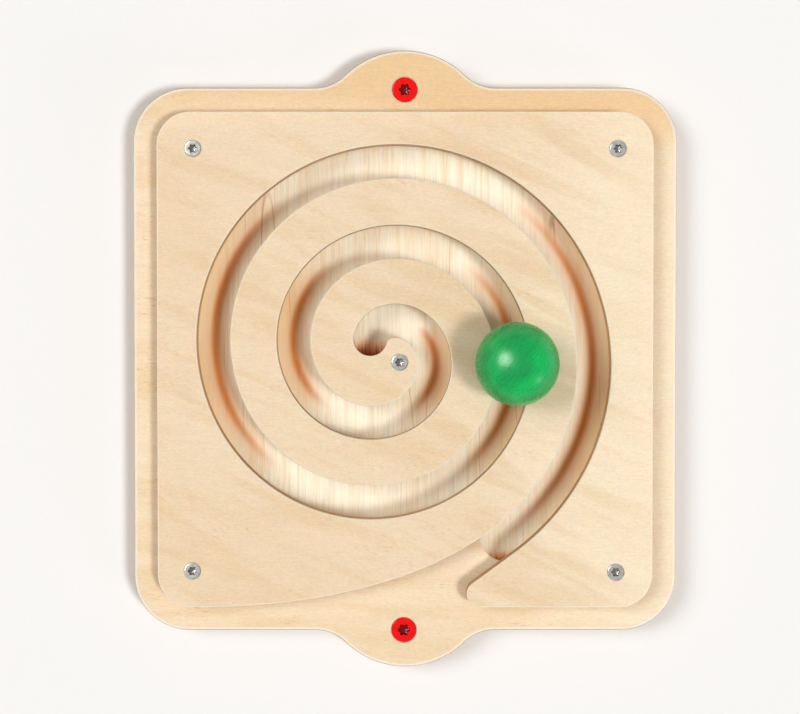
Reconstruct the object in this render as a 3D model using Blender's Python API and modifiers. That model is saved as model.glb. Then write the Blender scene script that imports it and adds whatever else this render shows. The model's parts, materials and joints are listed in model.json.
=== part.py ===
"""Spiral maze board: a ball held captive in a spiral slot between two plywood plates.

Units are metres. The board lies on its back with the play face up (+Z). The origin is
the centre of the back face, +X runs to the right and +Y to the top tab.
"""

import math

import bmesh
import bpy
from mathutils import Matrix, Vector, geometry

# Fit between pieces that touch, so that their solids stay apart.
GAP = 0.0003
# How far a cutter runs past the face it opens.
OVERCUT = 0.002

# Back plate: a rounded square with a tab at the top and one at the bottom.
BACK_SIZE = 0.272
BACK_THICKNESS = 0.015
BACK_CORNER = 0.0275
BACK_ROUNDING = 0.003
TAB_RADIUS = 0.0427
TAB_CENTRE_Y = 0.1118
TAB_FILLET = 0.0225

# Front plate, screwed onto the back plate.
FRONT_SIZE = 0.245
FRONT_THICKNESS = 0.009
FRONT_CORNER = 0.0165
FRONT_ROUNDING = 0.0008
FRONT_BASE = BACK_THICKNESS + GAP
FRONT_FACE = FRONT_BASE + FRONT_THICKNESS

# Spiral track: its radius falls by one pitch for each turn anticlockwise.
SPIRAL_CENTRE = Vector((-0.01053, 0.00397))
SPIRAL_RADIUS = 0.10395
SPIRAL_PITCH = 0.03979
SPIRAL_FALL = SPIRAL_PITCH / (2 * math.pi)
INNER_END = math.radians(856)
OUTER_END = math.radians(-56.5)
TRACK_STEP = math.radians(7.5)

# Slot through the front plate, and the round-bottomed groove under it.
SLOT_WIDTH = 0.01668
NOSE_RADIUS = 0.0012
GROOVE_WIDTH = 0.026
GROOVE_DEPTH = 0.008
GROOVE_RADIUS = (GROOVE_WIDTH**2 / 4 + GROOVE_DEPTH**2) / (2 * GROOVE_DEPTH)
GROOVE_AXIS_Z = BACK_THICKNESS - GROOVE_DEPTH + GROOVE_RADIUS
GROOVE_CONTOURS = (0.0045, 0.0085, 0.0115, 0.0136)

# Open end of the slot at the bottom of the board.
EXIT_LEAVES = math.radians(-30)
EXIT_PULL = 0.057
EXIT_FLATTEN = 0.089
TIP_LEAVES = math.radians(-57)
TIP_RADIUS = 0.0065

# Ball and the pieces that hold it in the track.
BALL_ANGLE = math.radians(355.3)
BALL_RADIUS = 0.0203
BALL_SINK = 0.001
GUIDE_RADIUS = GROOVE_RADIUS - 0.00056
GUIDE_TOP = 0.0146
BOLT_RADIUS = 0.0025
BOLT_HOLE = BOLT_RADIUS + GAP
BOLT_LENGTH = 0.030
BOLT_HEAD_RADIUS = 0.0044
BOLT_HEAD_TOP = 0.0102
BOLT_HEAD_HEIGHT = 0.0021
BOLT_CHAMFER = 0.0005
COUNTERBORE_RADIUS = 0.0052
COUNTERBORE_TOP = 0.0116
WASHER_RADIUS = 0.0049
WASHER_THICKNESS = 0.0008
SLEEVE_RADIUS = 0.007
INSERT_RADIUS = 0.004
INSERT_LENGTH = 0.012

# Screws, as (head radius, shank radius, length, drive radius, drive depth).
SILVER_SCREW = (0.0040, 0.0018, 0.020, 0.0023, 0.0020)
RED_SCREW = (0.0062, 0.0029, 0.0143, 0.0030, 0.0026)
SCREW_PLACES = {
    "screw_top_left": (-0.1046, 0.1044),
    "screw_top_right": (0.1049, 0.1043),
    "screw_bottom_left": (-0.1054, -0.1044),
    "screw_bottom_right": (0.1044, -0.1050),
    "screw_centre": (-0.0027, -0.0010),
}
TAB_SCREW_PLACES = {
    "tab_screw_top": (-0.0001, 0.1347),
    "tab_screw_bottom": (-0.0006, -0.1356),
}
HEAD_LAND = 0.0004
HEAD_SINK = 0.0002

# Plug in the back face, on the spiral's centre.
PLUG_RADIUS = 0.004
PLUG_LENGTH = 0.004


# ---------------------------------------------------------------- scene and materials


def clear_scene():
    for obj in list(bpy.data.objects):
        bpy.data.objects.remove(obj, do_unlink=True)


def make_collection(name, hidden=False):
    collection = bpy.data.collections.new(name)
    bpy.context.scene.collection.children.link(collection)
    collection.hide_render = hidden
    return collection


def make_material(name, colour, roughness, metallic=0.0):
    material = bpy.data.materials.new(name)
    material.use_nodes = True
    shader = material.node_tree.nodes["Principled BSDF"]
    shader.inputs["Base Color"].default_value = (*colour, 1.0)
    shader.inputs["Roughness"].default_value = roughness
    shader.inputs["Metallic"].default_value = metallic
    return material


def add_object(name, mesh, collection, material=None):
    obj = bpy.data.objects.new(name, mesh)
    collection.objects.link(obj)
    if material:
        mesh.materials.append(material)
    return obj


def make_cutter(obj):
    obj.hide_render = True
    obj.display_type = "WIRE"
    return obj


def cut(obj, cutters):
    for cutter in cutters:
        modifier = obj.modifiers.new("cut_" + cutter.name, "BOOLEAN")
        modifier.operation = "DIFFERENCE"
        modifier.solver = "EXACT"
        modifier.object = cutter


# ---------------------------------------------------------------- plane geometry


def on_circle(centre, radius, angle):
    return Vector((centre[0] + radius * math.cos(angle), centre[1] + radius * math.sin(angle)))


def arc(centre, radius, start, end, step=math.radians(9)):
    """Points from angle start to angle end, both included."""
    count = max(1, math.ceil(abs(end - start) / step))
    return [on_circle(centre, radius, start + (end - start) * i / count) for i in range(count + 1)]


def heading(vector):
    return math.atan2(vector.y, vector.x)


def after(angle, start):
    """The same angle, raised by whole turns to lie above start."""
    return start + (angle - start) % (2 * math.pi)


def spread(start, end, step=TRACK_STEP):
    count = max(1, math.ceil(abs(end - start) / step))
    return [start + (end - start) * i / count for i in range(count + 1)]


# ---------------------------------------------------------------- spiral track


def track_radius(angle):
    return SPIRAL_RADIUS - SPIRAL_FALL * angle


def track_point(angle):
    return on_circle(SPIRAL_CENTRE, track_radius(angle), angle)


def track_heading(angle):
    """Unit direction of travel towards the inner end."""
    radial = Vector((math.cos(angle), math.sin(angle)))
    across = Vector((-radial.y, radial.x))
    return (across * track_radius(angle) - radial * SPIRAL_FALL).normalized()


def beside_track(angle, offset):
    """A point offset from the track's centre line, positive towards the spiral's centre."""
    ahead = track_heading(angle)
    return track_point(angle) + Vector((-ahead.y, ahead.x)) * offset


def nose_angle(reach):
    """Where the inner edge, moved out by reach, first comes within reach of the end."""
    end = track_point(INNER_END)

    def room(angle):
        return (beside_track(angle, reach) - end).length - reach

    low = INNER_END - 2 * math.pi
    while low < INNER_END and room(low + TRACK_STEP / 6) > 0:
        low += TRACK_STEP / 6
    if low >= INNER_END - TRACK_STEP / 6:
        return INNER_END
    high = low + TRACK_STEP / 6
    for _ in range(40):
        middle = (low + high) / 2
        low, high = (middle, high) if room(middle) > 0 else (low, middle)
    return low


def inner_loop(half_width, start_outer, start_inner, nose_radius):
    """The track's outline: in along the outer edge, round the end, and out again."""
    end = track_point(INNER_END)
    ahead = heading(track_heading(INNER_END))
    turn = nose_angle(half_width + nose_radius)
    nose = beside_track(turn, half_width + nose_radius)
    cap_start = ahead - math.pi / 2
    cap_end = after(heading(nose - end), cap_start)
    points = [beside_track(angle, -half_width) for angle in spread(start_outer, INNER_END)]
    points += arc(end, half_width, cap_start, cap_end)[1:]
    if nose_radius:
        leave = heading(end - nose)
        swing = (leave - heading(track_point(turn) - nose)) % (2 * math.pi)
        points += arc(nose, nose_radius, leave, leave - swing, math.radians(24))[1:]
    points += [beside_track(angle, half_width) for angle in spread(turn, start_inner)][1:]
    return points


# ---------------------------------------------------------------- outlines


def front_outline():
    """Clockwise: round the tip, in along the slot, out again, down the exit, round the square."""
    half = FRONT_SIZE / 2
    inset = half - FRONT_CORNER
    away = -track_heading(TIP_LEAVES)
    tip_start = beside_track(TIP_LEAVES, -SLOT_WIDTH / 2)
    slope = math.atan2(-away.y, -away.x)
    meet_x = tip_start.x + away.x * (-half - tip_start.y) / away.y
    tip_centre = (meet_x + TIP_RADIUS / math.tan(slope / 2), TIP_RADIUS - half)
    points = arc(tip_centre, TIP_RADIUS, math.pi * 1.5, math.pi / 2 + slope)
    points += inner_loop(SLOT_WIDTH / 2, TIP_LEAVES, EXIT_LEAVES, NOSE_RADIUS)

    leave = points[-1]
    land = Vector((-inset, -half))
    steer_out = leave - track_heading(EXIT_LEAVES) * EXIT_PULL
    steer_in = land + Vector((EXIT_FLATTEN, 0))
    points += geometry.interpolate_bezier(leave, steer_out, steer_in, land, 19)[1:-1]
    for i, (x, y) in enumerate(((-1, -1), (-1, 1), (1, 1), (1, -1))):
        start = math.pi * (1.5 - 0.5 * i)
        points += arc((x * inset, y * inset), FRONT_CORNER, start, start - math.pi / 2)
    return points


def tab_outline(side):
    """Fillet, tab and fillet, clockwise. side is 1 for the top tab and -1 for the bottom."""
    half = BACK_SIZE / 2
    fillet_y = half + TAB_FILLET
    fillet_x = math.sqrt((TAB_RADIUS + TAB_FILLET) ** 2 - (fillet_y - TAB_CENTRE_Y) ** 2)
    lean = math.atan2(fillet_y - TAB_CENTRE_Y, fillet_x)
    points = arc((-fillet_x, fillet_y), TAB_FILLET, -math.pi / 2, -lean)
    points += arc((0, TAB_CENTRE_Y), TAB_RADIUS, math.pi - lean, lean)[1:]
    points += arc((fillet_x, fillet_y), TAB_FILLET, math.pi + lean, math.pi * 1.5)[1:]
    return [point * side for point in points]


def back_outline():
    inset = BACK_SIZE / 2 - BACK_CORNER
    points = []
    for i, (x, y) in enumerate(((1, 1), (1, -1), (-1, -1), (-1, 1))):
        if x == y:
            points += tab_outline(x)
        start = math.pi * (0.5 - 0.5 * i)
        points += arc((x * inset, y * inset), BACK_CORNER, start, start - math.pi / 2)
    return points


# ---------------------------------------------------------------- solids


def curve_to_mesh(curve_object):
    """A mesh of the curve object's shape, with each flat cap made one face."""
    bpy.context.view_layer.update()
    evaluated = curve_object.evaluated_get(bpy.context.evaluated_depsgraph_get())
    mesh = bpy.data.meshes.new_from_object(evaluated)
    shape = bmesh.new()
    shape.from_mesh(mesh)
    bmesh.ops.remove_doubles(shape, verts=shape.verts, dist=1e-6)
    level = [{round(vert.co.z, 6) for vert in face.verts} for face in shape.faces]
    caps = [face for face, heights in zip(shape.faces, level) if len(heights) == 1]
    bmesh.ops.delete(shape, geom=caps, context="FACES")
    bmesh.ops.edgeloop_fill(shape, edges=[edge for edge in shape.edges if edge.is_boundary])
    bmesh.ops.recalc_face_normals(shape, faces=shape.faces)
    shape.to_mesh(mesh)
    shape.free()
    return mesh


def flat_piece(name, outline, base, thickness, rounding, collection, material=None):
    """A flat outline, extruded upwards from base, with its edges rounded."""
    curve = bpy.data.curves.new(name + "_outline", "CURVE")
    curve.dimensions = "2D"
    curve.fill_mode = "BOTH"
    curve.extrude = thickness / 2 - rounding
    curve.bevel_depth = rounding
    curve.bevel_resolution = 1 if rounding > 0.002 else 0
    curve.offset = -rounding
    spline = curve.splines.new("POLY")
    spline.points.add(len(outline) - 1)
    for slot, point in zip(spline.points, outline):
        slot.co = (point[0], point[1], 0, 1)
    spline.use_cyclic_u = True
    guide = add_object(name + "_outline", curve, collection)
    guide.location.z = base + thickness / 2
    mesh = curve_to_mesh(guide)
    obj = add_object(name, mesh, collection, material)
    obj.matrix_world = guide.matrix_world.copy()
    bpy.data.objects.remove(guide, do_unlink=True)
    return obj


def turned_piece(name, profile, place, collection, material=None, closed=False, steps=28):
    """A (radius, height) profile, listed down its outer side, turned about a vertical axis."""
    mesh = bpy.data.meshes.new(name)
    edges = [(i, i + 1) for i in range(len(profile) - 1)]
    if closed:
        edges.append((len(profile) - 1, 0))
    mesh.from_pydata([(radius, 0, height) for radius, height in profile], edges, [])
    obj = add_object(name, mesh, collection, material)
    obj.location = (place[0], place[1], 0)
    turn = obj.modifiers.new("turn", "SCREW")
    turn.steps = steps
    turn.render_steps = steps
    turn.use_smooth_shade = True
    turn.use_merge_vertices = True
    turn.merge_threshold = 1e-5
    return obj


def ring_profile(outer, inner, low, high):
    return [(outer, high), (outer, low), (inner, low), (inner, high)]


def groove_height(offset):
    return GROOVE_AXIS_Z - math.sqrt(GROOVE_RADIUS**2 - offset**2)


def groove_loop(offset):
    """A contour of the groove: every point of it lies offset from the track's centre line."""
    points = inner_loop(offset, OUTER_END, OUTER_END, 0)
    back = heading(track_heading(OUTER_END)) + math.pi / 2
    return points + arc(track_point(OUTER_END), offset, back, back + math.pi)[1:-1]


def groove_cutter(collection):
    """The groove's round bed through its contours, closed above the back plate's face."""
    points = [track_point(angle) for angle in spread(OUTER_END, INNER_END)]
    heights = [groove_height(0)] * len(points)
    edges = [(i, i + 1) for i in range(len(points) - 1)]
    for offset in GROOVE_CONTOURS:
        loop = groove_loop(offset)
        first = len(points)
        edges += [(first + i, first + (i + 1) % len(loop)) for i in range(len(loop))]
        points += loop
        heights += [groove_height(offset)] * len(loop)
    flat, _, faces, sources, _, _ = geometry.delaunay_2d_cdt(points, edges, [], 1, 1e-7)
    mesh = bpy.data.meshes.new("groove_cutter")
    bed = [(point.x, point.y, heights[source[0]]) for point, source in zip(flat, sources)]
    mesh.from_pydata(bed, [], faces)
    shape = bmesh.new()
    shape.from_mesh(mesh)
    grown = bmesh.ops.extrude_face_region(shape, geom=shape.faces[:])
    for item in grown["geom"]:
        if isinstance(item, bmesh.types.BMVert):
            item.co.z = FRONT_FACE
    bmesh.ops.recalc_face_normals(shape, faces=shape.faces)
    shape.to_mesh(mesh)
    shape.free()
    return make_cutter(add_object("groove_cutter", mesh, collection))


# ---------------------------------------------------------------- screws


def screw_profile(size, face):
    """A countersunk screw, from the middle of its head down to its point."""
    head, shank, length, _, _ = size
    top = face - HEAD_SINK
    cone_foot = top - HEAD_LAND - (head - shank)
    tip = top - length
    return [
        (0, top),
        (head - HEAD_LAND, top),
        (head, top - HEAD_LAND),
        (shank, cone_foot),
        (shank, tip + shank),
        (shank * 0.3, tip),
        (0, tip),
    ]


def screw_hole_profile(size, face, bottom):
    head, shank, _, _, _ = size
    rim = face - HEAD_SINK - HEAD_LAND
    return [
        (0, face + OVERCUT),
        (head + GAP, face + OVERCUT),
        (head + GAP, rim - GAP),
        (shank + GAP, rim - GAP - (head - shank)),
        (shank + GAP, bottom),
        (0, bottom),
    ]


def drive_cutter(name, size, place, face, collection):
    """A six-lobed recess in the head."""
    radius, depth = size[3], size[4]
    lobes = [
        on_circle((0, 0), radius * (0.86 + 0.14 * math.cos(6 * angle)), angle)
        for angle in spread(0, 2 * math.pi, math.radians(15))[:-1]
    ]
    obj = flat_piece(name, lobes, face - depth, depth + OVERCUT, 0, collection)
    obj.matrix_world = Matrix.Translation((place[0], place[1], 0)) @ obj.matrix_world
    return make_cutter(obj)


def add_screw(name, size, place, face, bottom, parts, cutters, material):
    """The screw, and the cutter for the hole it sits in."""
    screw = turned_piece(name, screw_profile(size, face), place, parts, material, steps=20)
    cut(screw, [drive_cutter(name + "_drive", size, place, face, cutters)])
    hole = turned_piece(
        name + "_hole", screw_hole_profile(size, face, bottom), place, cutters, steps=20
    )
    return make_cutter(hole)


# ---------------------------------------------------------------- ball and slider


def ball_profile(centre_height):
    """A ball with a flat under it, bored for the insert and the bolt's end."""
    flat_height = FRONT_FACE + GAP
    lowest = math.asin((centre_height - flat_height) / BALL_RADIUS)
    profile = [
        (BALL_RADIUS * math.cos(lift), centre_height + BALL_RADIUS * math.sin(lift))
        for lift in spread(math.pi / 2, -lowest, math.radians(8))
    ]
    profile[0] = (0, centre_height + BALL_RADIUS)
    insert_hole = INSERT_RADIUS + GAP
    insert_top = flat_height + GAP + INSERT_LENGTH + GAP
    bolt_top = BOLT_HEAD_TOP + BOLT_LENGTH + 2 * GAP
    return profile + [
        (insert_hole, flat_height),
        (insert_hole, insert_top),
        (BOLT_HOLE, insert_top),
        (BOLT_HOLE, bolt_top),
        (0, bolt_top),
    ]


def guide_profile():
    """A half-round runner that fits the groove, counterbored for the bolt's head."""
    axis_z = GROOVE_AXIS_Z
    start = math.asin((GUIDE_TOP - axis_z) / GUIDE_RADIUS)
    end = -math.acos(COUNTERBORE_RADIUS / GUIDE_RADIUS)
    profile = [
        (GUIDE_RADIUS * math.cos(lift), axis_z + GUIDE_RADIUS * math.sin(lift))
        for lift in spread(start, end, math.radians(8))
    ]
    return profile + [
        (COUNTERBORE_RADIUS, COUNTERBORE_TOP),
        (BOLT_HOLE, COUNTERBORE_TOP),
        (BOLT_HOLE, GUIDE_TOP),
    ]


def bolt_profile():
    tip = BOLT_HEAD_TOP + BOLT_LENGTH
    return [
        (0, tip),
        (BOLT_RADIUS - BOLT_CHAMFER, tip),
        (BOLT_RADIUS, tip - BOLT_CHAMFER),
        (BOLT_RADIUS, BOLT_HEAD_TOP),
        (BOLT_HEAD_RADIUS, BOLT_HEAD_TOP),
        (BOLT_HEAD_RADIUS, BOLT_HEAD_TOP - BOLT_HEAD_HEIGHT / 2),
        (BOLT_HEAD_RADIUS * 0.8, BOLT_HEAD_TOP - BOLT_HEAD_HEIGHT * 0.9),
        (0, BOLT_HEAD_TOP - BOLT_HEAD_HEIGHT),
    ]


def add_slider(parts, materials):
    """Everything that travels along the track, parented to an empty on the ball's own axis."""
    arm = bpy.data.objects.new("spiral_axis", None)
    parts.objects.link(arm)
    arm.location = (*SPIRAL_CENTRE, 0)
    slider = bpy.data.objects.new("ball_axis", None)
    parts.objects.link(slider)
    slider.parent = arm
    slider.location = (*(track_point(BALL_ANGLE) - SPIRAL_CENTRE), 0)

    ball_centre = FRONT_FACE - BALL_SINK + BALL_RADIUS
    washer_high = COUNTERBORE_TOP - GAP
    insert_low = FRONT_FACE + 2 * GAP
    sleeve = ring_profile(SLEEVE_RADIUS, BOLT_HOLE, GUIDE_TOP + GAP, FRONT_FACE)
    washer = ring_profile(WASHER_RADIUS, BOLT_HOLE, washer_high - WASHER_THICKNESS, washer_high)
    insert = ring_profile(INSERT_RADIUS, BOLT_HOLE, insert_low, insert_low + INSERT_LENGTH)
    pieces = (
        ("ball", ball_profile(ball_centre), "green_lacquer", False, 32),
        ("ball_insert", insert, "brass", True, 20),
        ("stem_bolt", bolt_profile(), "zinc", False, 20),
        ("stem_washer", washer, "zinc", True, 20),
        ("spacer_sleeve", sleeve, "nylon", True, 24),
        ("groove_guide", guide_profile(), "nylon", True, 28),
    )
    for name, profile, finish, closed, steps in pieces:
        piece = turned_piece(name, profile, (0, 0), parts, materials[finish], closed, steps)
        piece.parent = slider

    plug = [(0, PLUG_LENGTH), (PLUG_RADIUS, PLUG_LENGTH), (PLUG_RADIUS, GAP), (0, GAP)]
    piece = turned_piece("centre_plug", plug, (0, 0), parts, materials["back_ply"], steps=24)
    piece.parent = arm


# ---------------------------------------------------------------- assembly


def main():
    clear_scene()
    parts = make_collection("spiral_maze_board")
    cutters = make_collection("cutters", hidden=True)
    materials = {
        "front_ply": make_material("front_ply", (0.86, 0.70, 0.47), 0.55),
        "back_ply": make_material("back_ply", (0.83, 0.65, 0.41), 0.55),
        "green_lacquer": make_material("green_lacquer", (0.01, 0.42, 0.12), 0.30),
        "red_lacquer": make_material("red_lacquer", (0.80, 0.01, 0.01), 0.20),
        "zinc": make_material("zinc", (0.72, 0.72, 0.70), 0.30, 1.0),
        "brass": make_material("brass", (0.78, 0.58, 0.28), 0.35, 1.0),
        "nylon": make_material("nylon", (0.85, 0.84, 0.80), 0.45),
    }

    front = flat_piece(
        "front_plate", front_outline(), FRONT_BASE, FRONT_THICKNESS, FRONT_ROUNDING,
        parts, materials["front_ply"],
    )
    back = flat_piece(
        "back_plate", back_outline(), 0, BACK_THICKNESS, BACK_ROUNDING,
        parts, materials["back_ply"],
    )

    pilot_bottom = FRONT_FACE - HEAD_SINK - SILVER_SCREW[2] - GAP
    silver_holes = [
        add_screw(name, SILVER_SCREW, place, FRONT_FACE, pilot_bottom, parts, cutters,
                  materials["zinc"])
        for name, place in SCREW_PLACES.items()
    ]
    red_holes = [
        add_screw(name, RED_SCREW, place, BACK_THICKNESS, -OVERCUT, parts, cutters,
                  materials["red_lacquer"])
        for name, place in TAB_SCREW_PLACES.items()
    ]
    hole_radius = PLUG_RADIUS + GAP
    plug_hole = [
        (0, PLUG_LENGTH + GAP), (hole_radius, PLUG_LENGTH + GAP), (hole_radius, -OVERCUT),
        (0, -OVERCUT),
    ]
    plug_cutter = make_cutter(
        turned_piece("centre_plug_hole", plug_hole, SPIRAL_CENTRE, cutters, steps=24)
    )
    cut(front, silver_holes)
    cut(back, [groove_cutter(cutters), plug_cutter, *silver_holes, *red_holes])
    add_slider(parts, materials)


main()
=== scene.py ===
import json
import math

import bmesh
import bpy
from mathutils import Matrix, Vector, geometry


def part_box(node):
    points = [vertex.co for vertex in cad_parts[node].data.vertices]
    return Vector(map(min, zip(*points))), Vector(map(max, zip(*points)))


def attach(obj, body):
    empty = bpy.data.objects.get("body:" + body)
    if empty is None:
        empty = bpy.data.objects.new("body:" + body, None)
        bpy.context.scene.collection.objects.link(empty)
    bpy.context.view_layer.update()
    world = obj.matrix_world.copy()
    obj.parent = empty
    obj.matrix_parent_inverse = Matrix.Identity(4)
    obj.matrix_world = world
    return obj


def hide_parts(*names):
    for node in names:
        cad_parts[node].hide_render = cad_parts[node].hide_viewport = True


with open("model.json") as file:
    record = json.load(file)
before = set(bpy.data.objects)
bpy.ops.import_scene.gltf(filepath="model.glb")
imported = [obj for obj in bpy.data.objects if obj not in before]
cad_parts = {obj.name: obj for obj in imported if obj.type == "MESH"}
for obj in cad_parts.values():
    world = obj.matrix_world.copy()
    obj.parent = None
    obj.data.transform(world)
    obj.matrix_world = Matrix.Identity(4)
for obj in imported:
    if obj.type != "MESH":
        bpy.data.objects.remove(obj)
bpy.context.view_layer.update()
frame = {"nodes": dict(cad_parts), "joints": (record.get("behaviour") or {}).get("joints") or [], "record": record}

# ---------------------------------------------------------------- sizes, in metres

# From the frame: the plates, the ball and the plug under the spiral's centre.
BACK_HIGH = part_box("back_plate")[1]
FRONT_LOW, FRONT_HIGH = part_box("front_plate")
BALL_LOW, BALL_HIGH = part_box("ball")
JOINTS = {joint["name"]: joint for joint in frame["joints"]}
RATIO = frame["record"]["behaviour"]["couplings"][0]["ratio"]

BACK_HALF = BACK_HIGH.x
BACK_FACE = BACK_HIGH.z
FRONT_HALF = FRONT_HIGH.x
FRONT_BASE = FRONT_LOW.z
FRONT_FACE = FRONT_HIGH.z
BALL_RADIUS = (BALL_HIGH.x - BALL_LOW.x) / 2
BALL_AXIS = Vector(JOINTS["ball_spin"]["pos_m"]).to_2d()
BALL_CENTRE = BALL_AXIS.to_3d() + Vector((0, 0, BALL_HIGH.z - BALL_RADIUS))
PLUG_LOW, PLUG_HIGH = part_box("centre_plug")
PLUG_RADIUS = (PLUG_HIGH.x - PLUG_LOW.x) / 2

# The spiral falls by FALL for each radian anticlockwise, and passes through the ball's axis.
SPIRAL_CENTRE = Vector(JOINTS["spiral_turn"]["pos_m"]).to_2d()
FALL = -RATIO
REST_RADIUS = (BALL_AXIS - SPIRAL_CENTRE).length
REST_ANGLE = math.atan2(*(BALL_AXIS - SPIRAL_CENTRE).yx) % (2 * math.pi)
OUTER_END, INNER_END = (
    REST_ANGLE + math.radians(limit) for limit in JOINTS["spiral_turn"]["range_deg"]
)

# How finely curves are divided, and how far a search along the track goes.
TRACK_STEP = math.radians(1.5)
ARC_STEP = math.radians(3)
NOSE_STEP = math.radians(8)
HALVINGS = 40
TRACK_SEARCH = 40

# Outlines of the plates, as the CAD has them.
BACK_CORNER = 0.0275
BACK_ROUNDING = 0.003
BACK_FLAT_EDGE = BACK_ROUNDING + 0.0003
TAB_RADIUS = 0.0427
TAB_CENTRE_Y = BACK_HIGH.y - TAB_RADIUS
TAB_FILLET = 0.0225
FRONT_CORNER = 0.0165
FRONT_ROUNDING = 0.0008
FRONT_FLAT_EDGE = FRONT_ROUNDING + 0.0002
FRONT_FOOT_EASE = 0.0003
SLOT_HALF = 0.00834
NOSE_RADIUS = 0.0012
GROOVE_HALF = 0.013
GROOVE_DEPTH = 0.008
GROOVE_RADIUS = (GROOVE_HALF**2 + GROOVE_DEPTH**2) / (2 * GROOVE_DEPTH)
GROOVE_CONTOURS = 11
EXIT_LEAVES = math.radians(-30)
EXIT_PULL = 0.057
EXIT_FLATTEN = 0.089
EXIT_POINTS = 80
TIP_LEAVES = math.radians(-57)
TIP_RADIUS = 0.0065

# Painted on the groove's bed: how deep the painted shade at its ends is, how far in from the centre
# line as a share of the half width, and how nearly the track runs along Y, which sets the painted
# shade along the groove and fades before the inner end.
GROOVE_LAYERS = ("end_shade", "across", "upright")
FADE_ANGLE = 0.8

# Where the painted shade in each round end starts and is full, from -1 at its top to 1 at its foot.
INNER_END_SHADE = (-0.25, 0.62)
OUTER_END_SHADE = (0.62, 1.0)
END_SHADE_REACH = GROOVE_HALF * 1.02

# Screws, as (head radius, shank radius, length, drive radius, drive depth).
SILVER_SCREW = (0.0040, 0.0018, 0.020, 0.0023, 0.0019)
RED_SCREW = (0.0062, 0.0029, 0.0143, 0.0031, 0.0025)
HEAD_SINK = 0.0002
HEAD_ROUNDING = 0.00035
HEAD_FLAT_EDGE = HEAD_ROUNDING * 1.6
HEAD_SIDE = 0.0001
SCREW_SIDES = 72
SCREW_TIP = 0.2
THREAD_DEPTH = 0.0004
THREAD_PITCH = 0.0014
THREAD_ROWS = 6
HOLE_GAP = 0.0003
SILVER_NAMES = ("top_left", "top_right", "bottom_left", "bottom_right", "centre")
RED_NAMES = ("top", "bottom")

# The drive's wall, as shares of its radius and of its depth, from the bottom up.
DRIVE_WALL = ((0.62, 0.92), (0.86, 0.80), (0.95, 0.35), (0.98, 0.06), (1.03, 0.0))
DRIVE_POINT = 1.15
LOBE_DEPTH = 0.13

# The eased rim of a screw's hole, as (outwards, downwards) from its wall at the face.
HOLE_RIM = ((0.00025, 0), (0.00007, 0.00008), (0, 0.00025))

# The ball's top ring, the eased edge of its foot, and the hole up into its foot.
CROWN_RADIUS = 0.0002
FOOT_EASE = 0.0004
FOOT_HOLE_RADIUS = 0.0042
FOOT_HOLE_DEPTH = 0.004
BALL_SIDES = 128
PLUG_EASE = 0.0003

# A ply's thickness: the back plate has eleven plies, and the front plate seven.
BACK_PLY = BACK_FACE / 11
FRONT_PLY = (FRONT_FACE - FRONT_BASE) / 7

FLOOR_HALF = 4.0
FLOOR_HEIGHT = -0.0004
LENS_MM = 66.61
SENSOR_MM = 36.0
CAMERA_PLACE = (-0.0025, 0.0165, 0.755)
CAMERA_TILT = math.radians(-1.166)

# Light that comes back from the room around the object is warm.
WARM_BOUNCE = (1.0, 0.84, 0.62, 1.0)

# Light sinks a little way into wood, red light furthest.
WOOD_DEPTH = {
    "Subsurface_Weight": 0.35,
    "Subsurface_Radius": (1.0, 0.35, 0.12),
    "Subsurface_Scale": 0.004,
}


# ---------------------------------------------------------------- plane geometry


def on_circle(centre, radius, angle):
    return Vector((centre[0] + radius * math.cos(angle), centre[1] + radius * math.sin(angle)))


def spread(start, end, step=TRACK_STEP):
    """Equal steps from start to end, none longer than step."""
    count = max(1, math.ceil(abs(end - start) / step))
    return [start + (end - start) * i / count for i in range(count + 1)]


def arc(centre, radius, start, end, step=ARC_STEP):
    return [on_circle(centre, radius, angle) for angle in spread(start, end, step)]


def circle(centre, radius, count=48):
    return [on_circle(centre, radius, 2 * math.pi * i / count) for i in range(count)]


def heading(vector):
    return math.atan2(vector.y, vector.x)


def moved_in(points, distance):
    """A clockwise loop of points, each moved inwards by distance, square to its two edges."""
    moved = []
    for i, point in enumerate(points):
        before = (point - points[i - 1]).normalized()
        after = (points[(i + 1) % len(points)] - point).normalized()
        along = (before + after).normalized()
        inward = Vector((along.y, -along.x))
        moved.append(point + inward * distance / max(0.5, along.dot(after)))
    return moved


# ---------------------------------------------------------------- spiral track


def track_radius(angle):
    """The spiral's radius, at an angle that goes on growing with each turn inwards."""
    return REST_RADIUS - FALL * (angle - REST_ANGLE)


def track_point(angle):
    return on_circle(SPIRAL_CENTRE, track_radius(angle), angle)


def track_heading(angle):
    """Unit direction of travel towards the inner end."""
    radial = Vector((math.cos(angle), math.sin(angle)))
    across = Vector((-radial.y, radial.x))
    return (across * track_radius(angle) - radial * FALL).normalized()


def beside_track(angle, offset):
    """A point offset from the track's centre line, positive towards the spiral's centre."""
    ahead = track_heading(angle)
    return track_point(angle) + Vector((-ahead.y, ahead.x)) * offset


def nose_angle(reach):
    """Where the inner edge, moved out by reach, first comes within reach of the end."""
    end = track_point(INNER_END)

    def room(angle):
        return (beside_track(angle, reach) - end).length - reach

    low = INNER_END - 2 * math.pi
    while low < INNER_END - TRACK_STEP and room(low + TRACK_STEP) > 0:
        low += TRACK_STEP
    if low >= INNER_END - TRACK_STEP:
        return INNER_END
    high = low + TRACK_STEP
    for _ in range(HALVINGS):
        half_way = (low + high) / 2
        low, high = (half_way, high) if room(half_way) > 0 else (low, half_way)
    return low


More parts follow.
